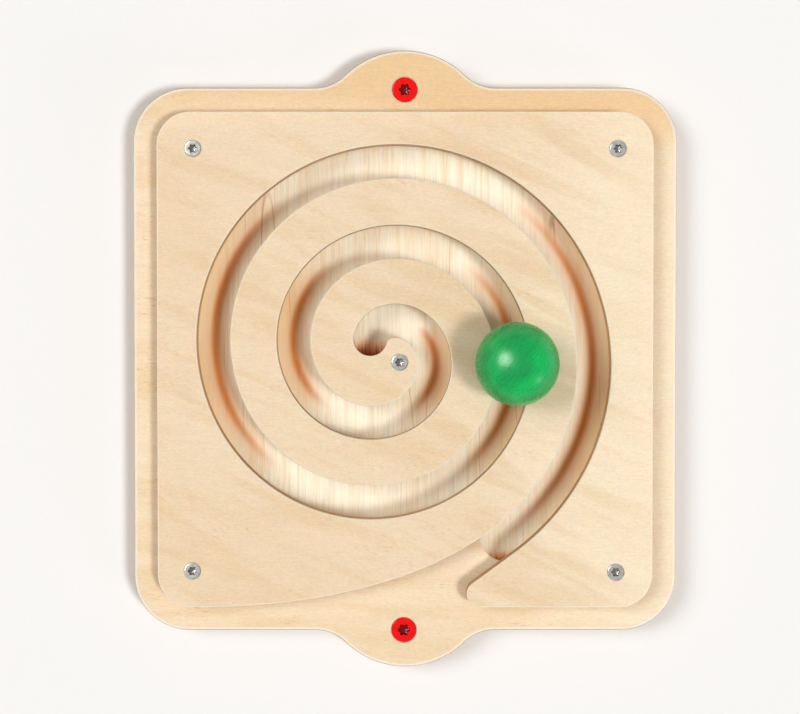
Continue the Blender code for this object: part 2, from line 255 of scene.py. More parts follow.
def inner_loop(half_width, start_outer, start_inner, nose_radius):
    """The track's outline: in along the outer edge, round the end, and out again."""
    end = track_point(INNER_END)
    turn = nose_angle(half_width + nose_radius)
    nose = beside_track(turn, half_width + nose_radius)
    cap_start = heading(track_heading(INNER_END)) - math.pi / 2
    cap_sweep = (heading(nose - end) - cap_start) % (2 * math.pi)
    points = [beside_track(angle, -half_width) for angle in spread(start_outer, INNER_END)]
    points += arc(end, half_width, cap_start, cap_start + cap_sweep)[1:]
    if nose_radius:
        leave = heading(end - nose)
        swing = (leave - heading(track_point(turn) - nose)) % (2 * math.pi)
        points += arc(nose, nose_radius, leave, leave - swing, NOSE_STEP)[1:]
    points += [beside_track(angle, half_width) for angle in spread(turn, start_inner)][1:]
    return points


def groove_loop(offset):
    """A contour of the groove: every point of it lies offset from the track's centre line."""
    points = inner_loop(offset, OUTER_END, OUTER_END, 0)
    back = heading(track_heading(OUTER_END)) + math.pi / 2
    return points + arc(track_point(OUTER_END), offset, back, back + math.pi)[1:-1]


def groove_height(offset):
    """The height of the groove's bed, which is part of a circle across."""
    return BACK_FACE - GROOVE_DEPTH + GROOVE_RADIUS - math.sqrt(GROOVE_RADIUS**2 - offset**2)


# ---------------------------------------------------------------- outlines


def front_outline():
    """Clockwise: round the tip, in along the slot, out again, down the exit, round the square."""
    inset = FRONT_HALF - FRONT_CORNER
    away = -track_heading(TIP_LEAVES)
    tip_start = beside_track(TIP_LEAVES, -SLOT_HALF)
    slope = math.atan2(-away.y, -away.x)
    meet_x = tip_start.x + away.x * (-FRONT_HALF - tip_start.y) / away.y
    tip_centre = (meet_x + TIP_RADIUS / math.tan(slope / 2), TIP_RADIUS - FRONT_HALF)
    points = arc(tip_centre, TIP_RADIUS, math.pi * 1.5, math.pi / 2 + slope)
    points += inner_loop(SLOT_HALF, TIP_LEAVES, EXIT_LEAVES, NOSE_RADIUS)

    leave = points[-1]
    land = Vector((-inset, -FRONT_HALF))
    steer_out = leave - track_heading(EXIT_LEAVES) * EXIT_PULL
    steer_in = land + Vector((EXIT_FLATTEN, 0))
    exit_curve = geometry.interpolate_bezier(leave, steer_out, steer_in, land, EXIT_POINTS)
    points += exit_curve[1:-1]
    for i, (x, y) in enumerate(((-1, -1), (-1, 1), (1, 1), (1, -1))):
        start = math.pi * (1.5 - 0.5 * i)
        points += arc((x * inset, y * inset), FRONT_CORNER, start, start - math.pi / 2)
    return points


def tab_outline(side):
    """Fillet, tab and fillet, clockwise. side is 1 for the top tab and -1 for the bottom."""
    fillet_y = BACK_HALF + TAB_FILLET
    fillet_x = math.sqrt((TAB_RADIUS + TAB_FILLET) ** 2 - (fillet_y - TAB_CENTRE_Y) ** 2)
    lean = math.atan2(fillet_y - TAB_CENTRE_Y, fillet_x)
    points = arc((-fillet_x, fillet_y), TAB_FILLET, -math.pi / 2, -lean)
    points += arc((0, TAB_CENTRE_Y), TAB_RADIUS, math.pi - lean, lean)[1:]
    points += arc((fillet_x, fillet_y), TAB_FILLET, math.pi + lean, math.pi * 1.5)[1:]
    return [point * side for point in points]


def back_outline():
    """Clockwise: a square with rounded corners, and a tab on its top and bottom sides."""
    inset = BACK_HALF - BACK_CORNER
    points = []
    for i, (x, y) in enumerate(((1, 1), (1, -1), (-1, -1), (-1, 1))):
        if x == y:
            points += tab_outline(x)
        start = math.pi * (0.5 - 0.5 * i)
        points += arc((x * inset, y * inset), BACK_CORNER, start, start - math.pi / 2)
    return points


# ---------------------------------------------------------------- mesh building


def add_ring(shape, points, height):
    return [shape.verts.new((point[0], point[1], height)) for point in points]


def loft(shape, rings):
    """Joins each ring to the next with a band of faces."""
    for upper, lower in zip(rings, rings[1:]):
        for i, vert in enumerate(upper):
            j = (i + 1) % len(upper)
            shape.faces.new((vert, lower[i], lower[j], upper[j]))


def flat_cap(shape, loops, holes, height):
    """A flat face inside the first loop, with the other loops as edges, less each hole."""
    points, edges = [], []
    for loop in loops:
        first = len(points)
        edges += [(first + i, first + (i + 1) % len(loop)) for i in range(len(loop))]
        points += loop
    flat, _, faces, _, _, _ = geometry.delaunay_2d_cdt(points, edges, [], 1, 1e-7)
    verts = [shape.verts.new((point.x, point.y, height)) for point in flat]
    for corners in faces:
        centre = sum((flat[i] for i in corners), Vector((0, 0))) / 3
        if any((centre - place).length < radius for place, radius in holes):
            continue
        shape.faces.new([verts[i] for i in corners])


def finish_piece(name, shape, materials, weld=2e-6, sharp=32):
    """Makes the mesh an object, smooth but for its sharp edges, with its flat faces kept flat."""
    bmesh.ops.remove_doubles(shape, verts=shape.verts, dist=weld)
    bmesh.ops.recalc_face_normals(shape, faces=shape.faces)
    mesh = bpy.data.meshes.new(name)
    shape.to_mesh(mesh)
    shape.free()
    for material in materials:
        mesh.materials.append(material)
    mesh.shade_smooth()
    mesh.set_sharp_from_angle(angle=math.radians(sharp))
    obj = bpy.data.objects.new(name, mesh)
    bpy.context.scene.collection.objects.link(obj)
    weighting = obj.modifiers.new("flat_faces", "WEIGHTED_NORMAL")
    weighting.keep_sharp = True
    weighting.weight = 80
    return obj


def rounding_profile(radius, top, steps):
    """(inset, height) from the side up to the face, round a quarter circle."""
    return [
        (radius - radius * math.cos(turn), top - radius + radius * math.sin(turn))
        for turn in spread(0, math.pi / 2, math.pi / 2 / steps)
    ]


def hole_wall(shape, place, profile):
    """A turned hole through (radius, height) pairs, from the top down."""
    rings = [add_ring(shape, circle(place, radius), height) for radius, height in profile]
    loft(shape, rings)
    return rings


def countersink(size, face, bottom):
    """A countersunk hole's wall, from its eased rim down."""
    head, shank = size[0], size[1]
    cone_top = face - HEAD_SINK - HEAD_SINK - HOLE_GAP
    return [(head + HOLE_GAP + out, face - down) for out, down in HOLE_RIM] + [
        (head + HOLE_GAP, cone_top),
        (shank + HOLE_GAP, cone_top - (head - shank)),
        (shank + HOLE_GAP, bottom),
    ]


def make_front_panel(materials, silver_places):
    """The plate with the spiral slot, and a countersunk hole for each silver screw."""
    shape = bmesh.new()
    outline = front_outline()
    profile = [(FRONT_FOOT_EASE, FRONT_BASE), (0, FRONT_BASE + FRONT_FOOT_EASE)]
    profile += rounding_profile(FRONT_ROUNDING, FRONT_FACE, 5)
    rings = [add_ring(shape, moved_in(outline, inset), height) for inset, height in profile]
    loft(shape, rings)
    walls = {place: countersink(SILVER_SCREW, FRONT_FACE, FRONT_BASE) for place in silver_places}
    for place, wall in walls.items():
        hole_wall(shape, place, wall)
    caps = (
        (FRONT_FACE, (FRONT_ROUNDING, FRONT_FLAT_EDGE), 0),
        (FRONT_BASE, (FRONT_FOOT_EASE,), -1),
    )
    for height, insets, index in caps:
        loops = [moved_in(outline, inset) for inset in insets]
        loops += [circle(place, wall[index][0]) for place, wall in walls.items()]
        holes = [(Vector(place), wall[index][0]) for place, wall in walls.items()]
        flat_cap(shape, loops, holes, height)
    return finish_piece("front_panel", shape, materials)


def end_shade_at(point):
    """How deep the painted shade is at a point: it gathers at the foot of each round end."""
    shade = 0.0
    for angle, (start, full) in ((INNER_END, INNER_END_SHADE), (OUTER_END, OUTER_END_SHADE)):
        away = point - track_point(angle)
        if away.length > END_SHADE_REACH:
            continue
        down = (-away.y / GROOVE_HALF - start) / (full - start)
        shade = max(shade, min(1.0, max(0.0, down)))
    return shade


def beside(point):
    """The track's angle beside a point, and how far in from the centre line the point is."""
    away = point - SPIRAL_CENTRE
    first = OUTER_END + (heading(away) - OUTER_END) % (2 * math.pi)
    turns = [first + 2 * math.pi * turn for turn in range(-1, 4)]
    angle = min(turns, key=lambda turn: abs(away.length - track_radius(turn)))
    angle = min(INNER_END, max(OUTER_END, angle))
    return angle, track_radius(angle) - away.length


def add_groove(shape, material):
    """The groove's bed, through contours that crowd towards its steep sides. Returns its lip."""
    offsets = [
        GROOVE_HALF * math.sin(math.pi / 2 * (i + 1) / GROOVE_CONTOURS)
        for i in range(GROOVE_CONTOURS)
    ]
    points = [track_point(angle) for angle in spread(OUTER_END, INNER_END)]
    heights = [groove_height(0)] * len(points)
    edges = [(i, i + 1) for i in range(len(points) - 1)]
    for offset in offsets:
        loop = groove_loop(offset)
        first = len(points)
        edges += [(first + i, first + (i + 1) % len(loop)) for i in range(len(loop))]
        points += loop
        heights += [groove_height(offset)] * len(loop)
    flat, _, faces, sources, _, _ = geometry.delaunay_2d_cdt(points, edges, [], 1, 1e-7)
    end_shade, across, upright = (shape.verts.layers.float[name] for name in GROOVE_LAYERS)
    verts = []
    for point, source in zip(flat, sources):
        vert = shape.verts.new((point.x, point.y, heights[source[0]]))
        angle, inwards = beside(point)
        # How deep the painted shade at the ends is here.
        vert[end_shade] = end_shade_at(point)
        vert[across] = inwards / GROOVE_HALF
        fade = min(1, max(0, INNER_END - angle - FADE_ANGLE))
        vert[upright] = abs(track_heading(angle).y) * fade
        verts.append(vert)
    for corners in faces:
        face = shape.faces.new([verts[i] for i in corners])
        face.material_index = material
    return groove_loop(GROOVE_HALF)


def make_back_panel(materials, silver_places, red_places):
    """The grooved plate. materials are the plywood's, and then the groove's."""
    shape = bmesh.new()
    for name in GROOVE_LAYERS:
        shape.verts.layers.float.new(name)
    outline = back_outline()
    top = rounding_profile(BACK_ROUNDING, BACK_FACE, 10)
    bottom = [(inset, BACK_FACE - height) for inset, height in reversed(top)]
    rings = [
        add_ring(shape, moved_in(outline, inset), height) for inset, height in bottom + top
    ]
    loft(shape, rings)
    lip = add_groove(shape, 1)

    head_face = FRONT_FACE - HEAD_SINK
    pilot = SILVER_SCREW[1] + HOLE_GAP
    pilot_wall = [(pilot, BACK_FACE), (pilot, head_face - SILVER_SCREW[2] - HOLE_GAP)]
    red_wall = countersink(RED_SCREW, BACK_FACE, 0)
    plug_radius = PLUG_RADIUS + HOLE_GAP
    plug_wall = [(plug_radius, PLUG_HIGH.z + HOLE_GAP), (plug_radius, 0)]
    for place in silver_places:
        shape.faces.new(hole_wall(shape, place, pilot_wall)[-1])
    for place in red_places:
        hole_wall(shape, place, red_wall)
    shape.faces.new(hole_wall(shape, SPIRAL_CENTRE, plug_wall)[0])

    holes = [(Vector(place), pilot) for place in silver_places]
    holes += [(Vector(place), red_wall[0][0]) for place in red_places]
    loops = [moved_in(outline, inset) for inset in (BACK_ROUNDING, BACK_FLAT_EDGE)]
    loops += [circle(place, radius) for place, radius in holes]
    flat = len(shape.faces)
    flat_cap(shape, loops + [lip], holes, BACK_FACE)
    shape.faces.ensure_lookup_table()
    inside = [face for face in shape.faces[flat:] if in_groove(face.calc_center_median())]
    bmesh.ops.delete(shape, geom=inside, context="FACES")

    holes = [(Vector(place), red_wall[-1][0]) for place in red_places]
    holes.append((SPIRAL_CENTRE, plug_radius))
    loops = [moved_in(outline, BACK_ROUNDING)]
    loops += [circle(place, radius) for place, radius in holes]
    flat_cap(shape, loops, holes, 0)
    return finish_piece("back_panel", shape, materials)


def in_groove(point):
    """True if a point of the face lies over the groove."""
    away = point.to_2d() - SPIRAL_CENTRE
    angle = heading(away) % (2 * math.pi) - 2 * math.pi
    ends = (track_point(OUTER_END), track_point(INNER_END))
    if any((point.to_2d() - end).length < GROOVE_HALF for end in ends):
        return True
    while angle < INNER_END:
        if angle > OUTER_END and abs(away.length - track_radius(angle)) < GROOVE_HALF:
            near = min(
                (point.to_2d() - track_point(angle + step * TRACK_STEP)).length
                for step in range(-TRACK_SEARCH, TRACK_SEARCH + 1)
                if OUTER_END <= angle + step * TRACK_STEP <= INNER_END
            )
            if near < GROOVE_HALF:
                return True
        angle += 2 * math.pi
    return False


# ---------------------------------------------------------------- screws, ball and plug


def lobes(place, radius):
    """A six-lobed ring."""
    return [
        on_circle(place, radius * (1 - LOBE_DEPTH + LOBE_DEPTH * math.cos(6 * angle)), angle)
        for angle in (2 * math.pi * i / SCREW_SIDES for i in range(SCREW_SIDES))
    ]


def thread_ring(place, shank, height, taper):
    """A ring round the threaded shank: the thread's crest is half as wide as its pitch."""
    root = shank - THREAD_DEPTH
    ring = []
    for i in range(SCREW_SIDES):
        angle = 2 * math.pi * i / SCREW_SIDES
        wave = (height / THREAD_PITCH + angle / (2 * math.pi)) % 1
        crest = max(0.0, 1 - abs(wave - 0.5) * 4)
        ring.append(on_circle(place, (root + THREAD_DEPTH * crest) * taper, angle))
    return ring


def make_screw(name, size, place, face, material):
    """A countersunk screw with a six-lobed drive and a rolled thread."""
    head, shank, length, drive, depth = size
    top = face - HEAD_SINK
    shape = bmesh.new()
    rings = [
        add_ring(shape, lobes(place, drive * grow), top - depth * sink)
        for grow, sink in DRIVE_WALL
    ]
    bottom = shape.verts.new((place[0], place[1], top - depth * DRIVE_POINT))

    profile = [(head - HEAD_FLAT_EDGE, top)]
    for turn in spread(math.radians(75), 0, math.radians(25)):
        radius = head - HEAD_ROUNDING + HEAD_ROUNDING * math.cos(turn)
        profile.append((radius, top - HEAD_ROUNDING + HEAD_ROUNDING * math.sin(turn)))
    side_foot = top - HEAD_ROUNDING - HEAD_SIDE
    neck = side_foot - (head - shank)
    profile += [(head, side_foot), (shank - THREAD_DEPTH, neck)]
    rings += [
        add_ring(shape, circle(place, radius, SCREW_SIDES), height) for radius, height in profile
    ]

    rows = math.ceil((neck - (top - length)) / THREAD_PITCH * THREAD_ROWS)
    for i in range(1, rows + 1):
        height = neck - (neck - top + length) * i / rows
        above_tip = (height - top + length) / shank
        taper = min(1.0, above_tip * (1 - SCREW_TIP) + SCREW_TIP)
        rings.append(add_ring(shape, thread_ring(place, shank, height, taper), height))
    loft(shape, rings)
    shape.faces.new(rings[-1])
    first = rings[0]
    for i, vert in enumerate(first):
        shape.faces.new((bottom, vert, first[(i + 1) % len(first)]))
    return finish_piece(name, shape, [material], weld=1e-7, sharp=40)


def turned(name, place, profile, material, count=96):
    """A solid turned round a vertical axis, from (radius, height) pairs down its outer side."""
    shape = bmesh.new()
    rings = [
        add_ring(shape, circle(place, radius, count), height) for radius, height in profile
    ]
    loft(shape, rings)
    shape.faces.new(rings[0])
    shape.faces.new(rings[-1])
    return finish_piece(name, shape, [material])


def make_ball(material):
    """A ball with a flat foot, and a hole up into the foot."""
    foot = BALL_LOW.z
    drop = math.asin((BALL_CENTRE.z - foot) / BALL_RADIUS)
    profile = [
        (
            max(CROWN_RADIUS, BALL_RADIUS * math.cos(lift)),
            BALL_CENTRE.z + BALL_RADIUS * math.sin(lift),
        )
        for lift in spread(math.pi / 2, -drop + math.radians(1), math.radians(2))
    ]
    profile += [
        (profile[-1][0] - FOOT_EASE, foot),
        (FOOT_HOLE_RADIUS + FOOT_EASE, foot),
        (FOOT_HOLE_RADIUS, foot + FOOT_EASE),
        (FOOT_HOLE_RADIUS, foot + FOOT_HOLE_DEPTH),
    ]
    return turned("turned_ball", BALL_AXIS, profile, material, count=BALL_SIDES)


def make_plug(material):
    """The dowel's end in the back plate, its edges eased."""
    inner = PLUG_RADIUS - PLUG_EASE
    profile = [(inner, PLUG_HIGH.z), (PLUG_RADIUS, PLUG_HIGH.z - PLUG_EASE)]
    profile += [(PLUG_RADIUS, PLUG_LOW.z + PLUG_EASE), (inner, PLUG_LOW.z)]
    return turned("dowel_plug", SPIRAL_CENTRE, profile, material)


# ---------------------------------------------------------------- material nodes


class Tree:
    """Short calls that build one material's nodes round its Principled shader."""

    def __init__(self, name):
        self.material = bpy.data.materials.new(name)
        self.material.use_nodes = True
        self.tree = self.material.node_tree
        self.shader = self.tree.nodes["Principled BSDF"]
        coordinates = self.tree.nodes.new("ShaderNodeTexCoord")
        self.place = coordinates.outputs["Object"]
        self.normal = coordinates.outputs["Normal"]

    def node(self, kind, inputs, **settings):
        made = self.tree.nodes.new(kind)
        for name, value in settings.items():
            setattr(made, name, value)
        for key, value in inputs.items():
            if isinstance(value, bpy.types.NodeSocket):
                self.tree.links.new(value, made.inputs[key])
            else:
                made.inputs[key].default_value = value
        return made

    def maths(self, operation, *values):
        return self.node("ShaderNodeMath", dict(enumerate(values)), operation=operation).outputs[0]

    def split(self, vector):
        return self.node("ShaderNodeSeparateXYZ", {0: vector}).outputs

    def ease(self, value, low, high, to_low=0.0, to_high=1.0):
        """value from low..high, eased to to_low..to_high and held there."""
        inputs = {"Value": value, 1: low, 2: high, 3: to_low, 4: to_high}
        node = self.node("ShaderNodeMapRange", inputs, interpolation_type="SMOOTHSTEP")
        return node.outputs[0]

    def noise(
        self, scale, detail=3.0, roughness=0.55, distortion=0.0, turn=(0, 0, 0), at=(0, 0, 0)
    ):
        """Noise with its own scale along each axis, in cells to the metre."""
        mapping = {"Vector": self.place, "Location": at, "Rotation": turn}
        placed = self.node("ShaderNodeMapping", mapping, vector_type="POINT").outputs[0]
        sized = self.node("ShaderNodeVectorMath", {0: placed, 1: scale}, operation="MULTIPLY")
        inputs = {
            "Vector": sized.outputs[0],
            "Scale": 1.0,
            "Detail": detail,
            "Roughness": roughness,
            "Distortion": distortion,
        }
        return self.node("ShaderNodeTexNoise", inputs).outputs["Fac"]

    def mix(self, factor, first, second, blend="MIX"):
        inputs = {0: factor, 6: first, 7: second}
        settings = {"data_type": "RGBA", "blend_type": blend, "clamp_factor": True}
        return self.node("ShaderNodeMix", inputs, **settings).outputs[2]

    def shade(self, colour, amount):
        """colour times a grey amount."""
        grey = self.node("ShaderNodeCombineColor", {0: amount, 1: amount, 2: amount}).outputs[0]
        return self.mix(1.0, colour, grey, "MULTIPLY")

    def choose(self, factor, first, second):
        """A number between first and second."""
        inputs = {0: factor, 2: first, 3: second}
        return self.node("ShaderNodeMix", inputs, data_type="FLOAT").outputs[0]

    def painted(self, layer):
        """A value painted on the mesh's points."""
        return self.node("ShaderNodeAttribute", {}, attribute_name=layer).outputs["Fac"]

    def bump(self, height, distance):
        inputs = {"Height": height, "Distance": distance, "Strength": 1.0}
        return self.node("ShaderNodeBump", inputs).outputs[0]

    def wear(self, **sockets):
        """Sets the shader's sockets, by name with _ for a space."""
        for name, value in sockets.items():
            socket = self.shader.inputs[name.replace("_", " ")]
            if isinstance(value, bpy.types.NodeSocket):
                self.tree.links.new(value, socket)
            else:
                socket.default_value = value
        return self.material


def colour(red, green, blue):
    """A linear colour from the values seen on a screen."""
    seen = (channel / 255 for channel in (red, green, blue))
    return tuple(c / 12.92 if c < 0.04045 else ((c + 0.055) / 1.055) ** 2.4 for c in seen) + (1.0,)


def veneer(tree, light, dark, fleck, warm_colour, lean):
    """A flat-sliced birch face, its grain along X: fibres, silky streaks, figure and flecks.

    It is paler towards +X and warmer at the +Y edge. Returns its colour and its fibres.
    """
    figure = tree.noise((11, 72, 72), 3.0, 0.55, 0.8, turn=(0, 0, lean))
    band = tree.noise((3.5, 11, 11), 1.0, 0.5, 0.4, turn=(0, 0, lean * 1.6), at=(0.3, 0.1, 0))
    silk = tree.noise((38, 330, 330), 3.0, 0.6)
    fibre = tree.noise((190, 1500, 1500), 3.0, 0.65)
    sheen = tree.ease(silk, 0.45, 0.75, 0, 0.35)
    tint = tree.maths("ADD", tree.ease(figure, 0.42, 0.68), sheen)
    base = tree.mix(tree.maths("MULTIPLY", tint, 0.6), light, dark)
    base = tree.mix(tree.ease(band, 0.45, 0.7, 0, 0.3), base, dark)
    marks = tree.noise((260, 1500, 1500), 0.0, 0.5, turn=(0, 0, lean), at=(0.07, 0.02, 0))
    where = tree.ease(tree.noise((22, 60, 60), 1.0, at=(0.5, 0, 0)), 0.5, 0.66)
    flecks = tree.maths("MULTIPLY", tree.ease(marks, 0.68, 0.8), where)
    base = tree.mix(tree.maths("MULTIPLY", flecks, 0.4), base, fleck)
    along_x, along_y, _ = tree.split(tree.place)
    pale = tree.maths("ADD", along_x, tree.ease(figure, 0.3, 0.7, 0.02, -0.02))
    base = tree.mix(tree.ease(pale, 0.03, 0.125, 0, 0.8), base, colour(246, 231, 206))
    warm = tree.maths("ADD", along_y, tree.ease(band, 0.3, 0.7, -0.01, 0.01))
    base = tree.mix(tree.ease(warm, 0.108, 0.132, 0, 0.7), base, warm_colour)
    pores = tree.noise((700, 1700, 1700), 2.0, 0.7, at=(0, 0.4, 0))
    base = tree.shade(base, tree.ease(pores, 0.25, 0.75, 0.94, 1.05))
    return tree.shade(base, tree.ease(fibre, 0.2, 0.8, 0.955, 1.035)), fibre


def plies(tree, top, ply, first_colour):
    """Bands down the plywood's edge, turn about along and across the grain.

    first_colour covers the top ply and the underside, with a painted highlight round the eased
    edge. Returns the colour and the bands' grain.
    """
    height = tree.split(tree.place)[2]
    depth = tree.maths("DIVIDE", tree.maths("SUBTRACT", top, height), ply)
    layer = tree.maths("FLOOR", depth)
    across = tree.maths("MODULO", layer, 2.0)
    face_x, face_y, face_z = tree.split(tree.normal)
    end_x, end_y = tree.maths("ABSOLUTE", face_x), tree.maths("ABSOLUTE", face_y)
    end = tree.choose(across, end_x, end_y)
    along_x = tree.noise((160, 1900, 2300), 3.0, 0.7)
    along_y = tree.noise((1900, 160, 2300), 3.0, 0.7)
    grain = tree.choose(across, along_x, along_y)
    blotch = tree.noise((90, 90, 500), 2.0)
    tone = tree.mix(tree.ease(end, 0.25, 0.9), colour(232, 201, 152), colour(184, 132, 78))
    tone = tree.mix(tree.ease(blotch, 0.4, 0.75, 0, 0.4), tone, colour(205, 158, 104))
    tone = tree.shade(tone, tree.ease(grain, 0.25, 0.75, 0.84, 1.08))
    seam = tree.maths("ABSOLUTE", tree.maths("SUBTRACT", tree.maths("FRACT", depth), 0.5))
    tone = tree.mix(tree.ease(seam, 0.455, 0.49, 0, 0.6), tone, colour(120, 76, 40))
    past_first = tree.maths("GREATER_THAN", depth, 0.97)
    below = tree.maths("MULTIPLY", past_first, tree.ease(face_z, -0.98, -0.8))
    # Painted highlight on the eased edge and the top ply's side, where the edge catches the light.
    painted_edge_highlight = tree.ease(tree.maths("ABSOLUTE", face_z), 0.8, 0.99, 0.75, 0)
    first_colour = tree.mix(painted_edge_highlight, first_colour, colour(255, 250, 238))
    return tree.mix(below, first_colour, tone), grain


def plywood(name, top, ply, light, dark, fleck, warm, lean):
    """Plywood with its upper face at the height top. lean turns the face's figure from X."""
    tree = Tree(name)
    face, fibre = veneer(tree, light, dark, fleck, warm, lean)
    tone, grain = plies(tree, top, ply, face)
    rough = tree.ease(fibre, 0.2, 0.8, 0.5, 0.62)
    relief = tree.bump(tree.maths("ADD", fibre, grain), 0.00003)
    return tree.wear(
        Base_Color=tone, Roughness=rough, Normal=relief, Specular_IOR_Level=0.3, **WOOD_DEPTH
    )


def groove_wood():
    """Cross-grain wood in the groove: streaks along Y and end grain where it slopes along Y.

    Where the track runs along Y it has painted shade: a warmer outer half, and a dark line that is
    in part a real rubbed line. The foot of each end has painted shade.
    """
    tree = Tree("groove_wood")
    streak = tree.noise((1900, 48, 48), 4.0, 0.68)
    broad = tree.noise((430, 14, 14), 2.0, 0.5, at=(0.2, 0, 0))
    patch = tree.noise((28, 22, 22), 2.0, 0.5)
    light, dark = colour(255, 246, 228), colour(244, 222, 186)
    tone = tree.mix(tree.ease(broad, 0.4, 0.72, 0, 0.6), light, dark)
    tone = tree.mix(tree.ease(patch, 0.45, 0.7, 0, 0.45), tone, colour(238, 216, 184))
    tone = tree.shade(tone, tree.ease(streak, 0.25, 0.75, 0.86, 1.09))
    face_y = tree.split(tree.normal)[1]
    slope = tree.ease(tree.maths("ABSOLUTE", face_y), 0.42, 0.95)
    ends = tree.maths("MULTIPLY", slope, tree.ease(streak, 0.3, 0.62, 0.35, 1.0))
    tone = tree.mix(ends, tone, colour(196, 142, 86))
    end_shade, across, upright = (tree.painted(layer) for layer in GROOVE_LAYERS)
    broken = tree.ease(streak, 0.3, 0.7, 0.8, 1)
    # Where the track runs along Y: painted shade on the outer half, and a dark line with a soft edge down the
    # middle, which is in part a real rubbed line and in part painted shade.
    rubbed_and_shaded = tree.maths("MULTIPLY", tree.ease(upright, 0.55, 0.97), broken)
    outer = tree.maths("MULTIPLY", rubbed_and_shaded, tree.ease(across, -0.7, 0.2, 0.55, 0))
    tone = tree.mix(outer, tone, colour(238, 192, 120))
    off_line = tree.maths("ABSOLUTE", tree.maths("ADD", across, 0.08))
    line_shade_edge = tree.ease(off_line, 0.0, 0.62, 0.7, 0)
    tone = tree.mix(tree.maths("MULTIPLY", rubbed_and_shaded, line_shade_edge), tone, colour(222, 158, 86))
    line = tree.ease(off_line, 0.0, 0.26, 0.9, 0)
    tone = tree.mix(tree.maths("MULTIPLY", rubbed_and_shaded, line), tone, colour(200, 110, 24))
    vein = tree.maths("ABSOLUTE", tree.maths("SUBTRACT", tree.noise((55, 3, 3), 1.0), 0.5))
    veins = tree.ease(vein, 0.0, 0.006, 0.5, 0.0)
    veins = tree.maths("MULTIPLY", veins, tree.ease(patch, 0.5, 0.62))
    tone = tree.mix(veins, tone, colour(150, 92, 44))
    # Painted shade at the foot of each round end, broken up by the streaks.
    uneven = tree.maths("ADD", end_shade, tree.ease(streak, 0.25, 0.75, -0.22, 0.22))
    tone = tree.mix(tree.ease(uneven, 0.05, 0.75, 0, 0.75), tone, colour(222, 140, 58))
    tone = tree.mix(tree.ease(uneven, 0.5, 1.05), tone, colour(148, 56, 4))
    relief = tree.bump(streak, 0.00005)
    rough = tree.ease(streak, 0.2, 0.8, 0.55, 0.7)
    return tree.wear(
        Base_Color=tone, Roughness=rough, Normal=relief, Specular_IOR_Level=0.25, **WOOD_DEPTH
    )


def green_lacquer():
    """Stained and lacquered beech: its grain shows through as darker rays and a fine relief."""
    tree = Tree("green_lacquer")
    lean = (0.25, 0.2, math.radians(-52))
    rings = tree.noise((18, 85, 85), 3.0, 0.6, 0.8, turn=lean)
    rays = tree.noise((150, 1400, 1400), 2.0, 0.6, turn=lean)
    cloud = tree.noise((38, 38, 38), 2.0, 0.5)
    tone = tree.mix(tree.ease(rings, 0.35, 0.7), colour(2, 186, 92), colour(0, 156, 77))
    tone = tree.mix(tree.ease(cloud, 0.5, 0.72, 0, 0.45), tone, colour(0, 136, 74))
    tone = tree.shade(tone, tree.ease(rays, 0.25, 0.75, 0.9, 1.06))
    relief = tree.bump(tree.maths("ADD", rays, rings), 0.00004)
    rough = tree.ease(rays, 0.3, 0.7, 0.24, 0.36)
    return tree.wear(Base_Color=tone, Roughness=rough, Normal=relief, Specular_IOR_Level=0.48)


def red_lacquer():
    """Glossy red enamel, with painted shade down in the screw's drive and round its rim."""
    tree = Tree("red_lacquer")
    cloud = tree.noise((350, 350, 350), 3.0, 0.6)
    peel = tree.noise((1500, 1500, 1500), 2.0, 0.5)
    tone = tree.mix(tree.ease(cloud, 0.4, 0.7), colour(244, 2, 2), colour(226, 0, 2))
    # Painted shade down in the drive and round the head's rim.
    sunk = tree.maths("SUBTRACT", BACK_FACE - HEAD_SINK, tree.split(tree.place)[2])
    tone = tree.mix(tree.ease(sunk, 0.00008, 0.0007, 0, 0.9), tone, colour(96, 0, 4))
    rough = tree.ease(peel, 0.3, 0.7, 0.1, 0.2)
    relief = tree.bump(peel, 0.00001)
    return tree.wear(Base_Color=tone, Roughness=rough, Normal=relief, Specular_IOR_Level=0.3)


def metal(name, tone, rough, scale, top=None):
    """Metal with fine mottling and small scuffs, and painted shade below top if that is given."""
    tree = Tree(name)
    mottle = tree.noise(scale, 4.0, 0.65)
    scuff = tree.noise(tuple(3 * size for size in scale), 2.0, 0.6)
    base = tree.shade(tone, tree.ease(mottle, 0.25, 0.75, 0.88, 1.03))
    if top is not None:
        # Painted shade down in the drive and round the head's rim.
        sunk = tree.maths("SUBTRACT", top, tree.split(tree.place)[2])
        base = tree.mix(tree.ease(sunk, 0.0001, 0.0008, 0, 0.75), base, colour(104, 100, 94))
    roughness = tree.ease(mottle, 0.25, 0.75, rough, rough + 0.16)
    relief = tree.bump(scuff, 0.000008)
    return tree.wear(Base_Color=base, Metallic=0.8, Roughness=roughness, Normal=relief)


def moulded_nylon():
    """Off-white plastic with a fine grit to it."""
    tree = Tree("moulded_nylon")
    cloud = tree.noise((120, 120, 120), 3.0, 0.6)
    grit = tree.noise((2200, 2200, 2200), 2.0, 0.6)
    tone = tree.mix(tree.ease(cloud, 0.35, 0.7), colour(236, 234, 226), colour(222, 219, 208))
    rough = tree.ease(grit, 0.3, 0.7, 0.38, 0.52)
    return tree.wear(Base_Color=tone, Roughness=rough, Normal=tree.bump(grit, 0.00001))


def dowel_end():
    """A dowel's end grain: rings and pores."""
    tree = Tree("dowel_end")
    rings = tree.noise((900, 260, 60), 3.0, 0.6, 0.5)
    pores = tree.noise((3200, 3200, 60), 1.0)
    tone = tree.mix(tree.ease(rings, 0.35, 0.7), colour(214, 170, 116), colour(184, 134, 82))
    tone = tree.mix(tree.ease(pores, 0.64, 0.74, 0, 0.5), tone, colour(110, 70, 38))
    return tree.wear(Base_Color=tone, Roughness=0.62, Normal=tree.bump(pores, 0.00003))


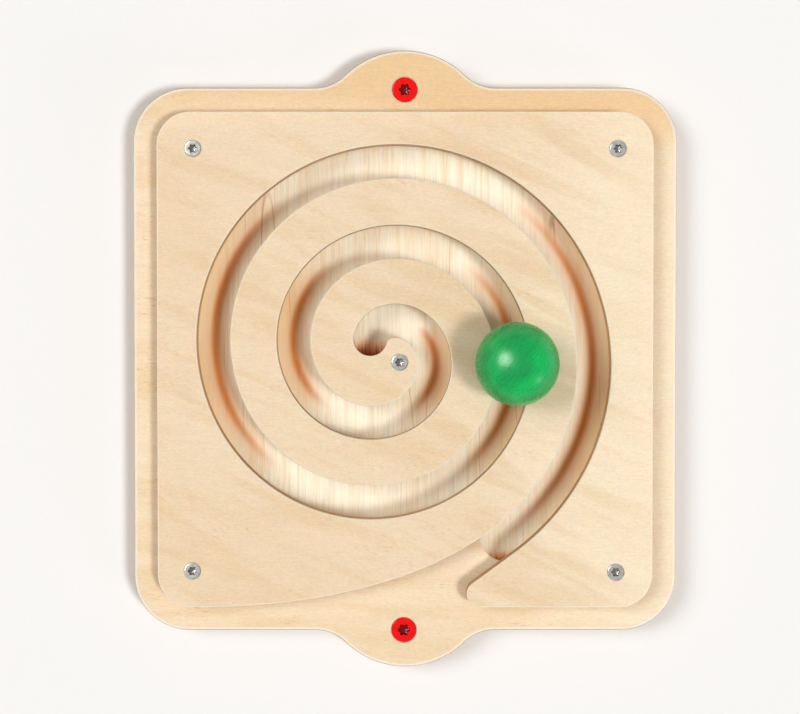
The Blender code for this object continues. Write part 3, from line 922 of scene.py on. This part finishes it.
def floor_paper():
    tree = Tree("floor_paper")
    fleck = tree.noise((900, 900, 900), 2.0)
    tone = tree.shade(colour(240, 241, 243), tree.ease(fleck, 0.3, 0.7, 0.995, 1.005))
    return tree.wear(Base_Color=tone, Roughness=0.9, Specular_IOR_Level=0.1)


# ---------------------------------------------------------------- stage


def add_floor():
    """A square floor, just clear of the underside."""
    shape = bmesh.new()
    corners = ((-1, -1), (1, -1), (1, 1), (-1, 1))
    shape.faces.new(
        [shape.verts.new((x * FLOOR_HALF, y * FLOOR_HALF, FLOOR_HEIGHT)) for x, y in corners]
    )
    mesh = bpy.data.meshes.new("floor")
    shape.to_mesh(mesh)
    shape.free()
    mesh.materials.append(floor_paper())
    floor = bpy.data.objects.new("floor", mesh)
    bpy.context.scene.collection.objects.link(floor)


def add_light(name, off_axis, towards, width, share, shines=True, lights=True):
    """A far, soft, round light, off_axis degrees from straight above, in the direction towards.

    width is how many degrees it spans, and share the part of the light on the play face it gives.
    A light that doesn't shine makes no highlights, and one that doesn't light makes only those.
    """
    lamp = bpy.data.lights.new(name, "SUN")
    lamp.angle = math.radians(width)
    lamp.energy = share * math.pi / math.cos(math.radians(off_axis))
    light = bpy.data.objects.new(name, lamp)
    bpy.context.scene.collection.objects.link(light)
    light.rotation_euler = (0, math.radians(off_axis), math.radians(towards))
    light.visible_glossy = shines
    light.visible_diffuse = lights


def add_world(seen, mirrored, lit):
    """A pale surround: its brightness to the eye, in reflections, and as light."""
    world = bpy.data.worlds.new("surround")
    world.use_nodes = True
    tree = world.node_tree
    background = tree.nodes["Background"]
    path = tree.nodes.new("ShaderNodeLightPath")
    level = tuple(lit * part for part in WARM_BOUNCE)
    for ray, brightness in (("Is Glossy Ray", mirrored), ("Is Camera Ray", seen)):
        choice = tree.nodes.new("ShaderNodeMix")
        choice.data_type = "RGBA"
        tree.links.new(path.outputs[ray], choice.inputs[0])
        if isinstance(level, tuple):
            choice.inputs[6].default_value = level
        else:
            tree.links.new(level, choice.inputs[6])
        choice.inputs[7].default_value = (brightness, brightness, brightness, 1)
        level = choice.outputs[2]
    tree.links.new(level, background.inputs["Color"])
    bpy.context.scene.world = world


def add_camera():
    lens = bpy.data.cameras.new("camera")
    lens.lens = LENS_MM
    lens.sensor_width = SENSOR_MM
    camera = bpy.data.objects.new("camera", lens)
    bpy.context.scene.collection.objects.link(camera)
    camera.location = CAMERA_PLACE
    camera.rotation_euler = (CAMERA_TILT, 0, 0)
    bpy.context.scene.camera = camera


# ---------------------------------------------------------------- assembly


def place_of(node):
    """The middle of a CAD node, seen from above."""
    low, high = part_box(node)
    return tuple(((low + high) / 2).to_2d())


def stand_in(piece, node, body):
    """Puts a piece in a CAD node's place, on its body."""
    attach(piece, body)
    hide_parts(node)


def dress(node, material):
    """Gives a CAD node a better material."""
    slots = frame["nodes"][node].data.materials
    slots.clear()
    slots.append(material)


def main():
    front_ply = plywood(
        "front_plywood",
        top=FRONT_FACE,
        ply=FRONT_PLY,
        light=colour(236, 216, 189),
        dark=colour(227, 200, 161),
        fleck=colour(222, 172, 116),
        warm=colour(244, 224, 190),
        lean=math.radians(24),
    )
    back_ply = plywood(
        "back_plywood",
        top=BACK_FACE,
        ply=BACK_PLY,
        light=colour(241, 223, 196),
        dark=colour(231, 205, 164),
        fleck=colour(190, 128, 74),
        warm=colour(231, 194, 142),
        lean=math.radians(4),
    )
    zinc = metal("zinc_plate", colour(214, 214, 208), 0.26, (700, 700, 700))
    head_face = FRONT_FACE - HEAD_SINK
    heads = metal("zinc_head", colour(222, 222, 215), 0.2, (500, 500, 500), head_face)
    brass = metal("turned_brass", colour(226, 190, 116), 0.3, (500, 500, 900))
    red = red_lacquer()
    nylon = moulded_nylon()

    silver_places = [place_of("screw_" + name) for name in SILVER_NAMES]
    red_places = [place_of("tab_screw_" + name) for name in RED_NAMES]
    front = make_front_panel([front_ply], silver_places)
    stand_in(front, "front_plate", "board")
    back = make_back_panel([back_ply, groove_wood()], silver_places, red_places)
    stand_in(back, "back_plate", "board")

    for name, place in zip(SILVER_NAMES, silver_places):
        screw = make_screw("silver_screw_" + name, SILVER_SCREW, place, FRONT_FACE, heads)
        stand_in(screw, "screw_" + name, "board")
    for name, place in zip(RED_NAMES, red_places):
        screw = make_screw("red_screw_" + name, RED_SCREW, place, BACK_FACE, red)
        stand_in(screw, "tab_screw_" + name, "board")

    stand_in(make_ball(green_lacquer()), "ball", "ball_knob")
    stand_in(make_plug(dowel_end()), "centre_plug", "spiral_arm")

    dress("ball_insert", brass)
    dress("stem_bolt", zinc)
    dress("stem_washer", zinc)
    dress("spacer_sleeve", nylon)
    dress("groove_guide", nylon)

    add_floor()
    add_light("key_light", off_axis=31, towards=-24, width=14, share=0.46, shines=False)
    add_light("left_light", off_axis=41, towards=160, width=30, share=0.31)
    add_light("left_shine", off_axis=41, towards=158, width=38, share=0.42, lights=False)
    add_light("top_light", off_axis=5, towards=-30, width=50, share=0.10, shines=False)
    add_light("low_light", off_axis=73, towards=-36, width=14, share=0.022)
    add_world(seen=0.97, mirrored=0.42, lit=0.20)
    add_camera()
    bpy.context.scene.view_settings.view_transform = "Standard"


main()
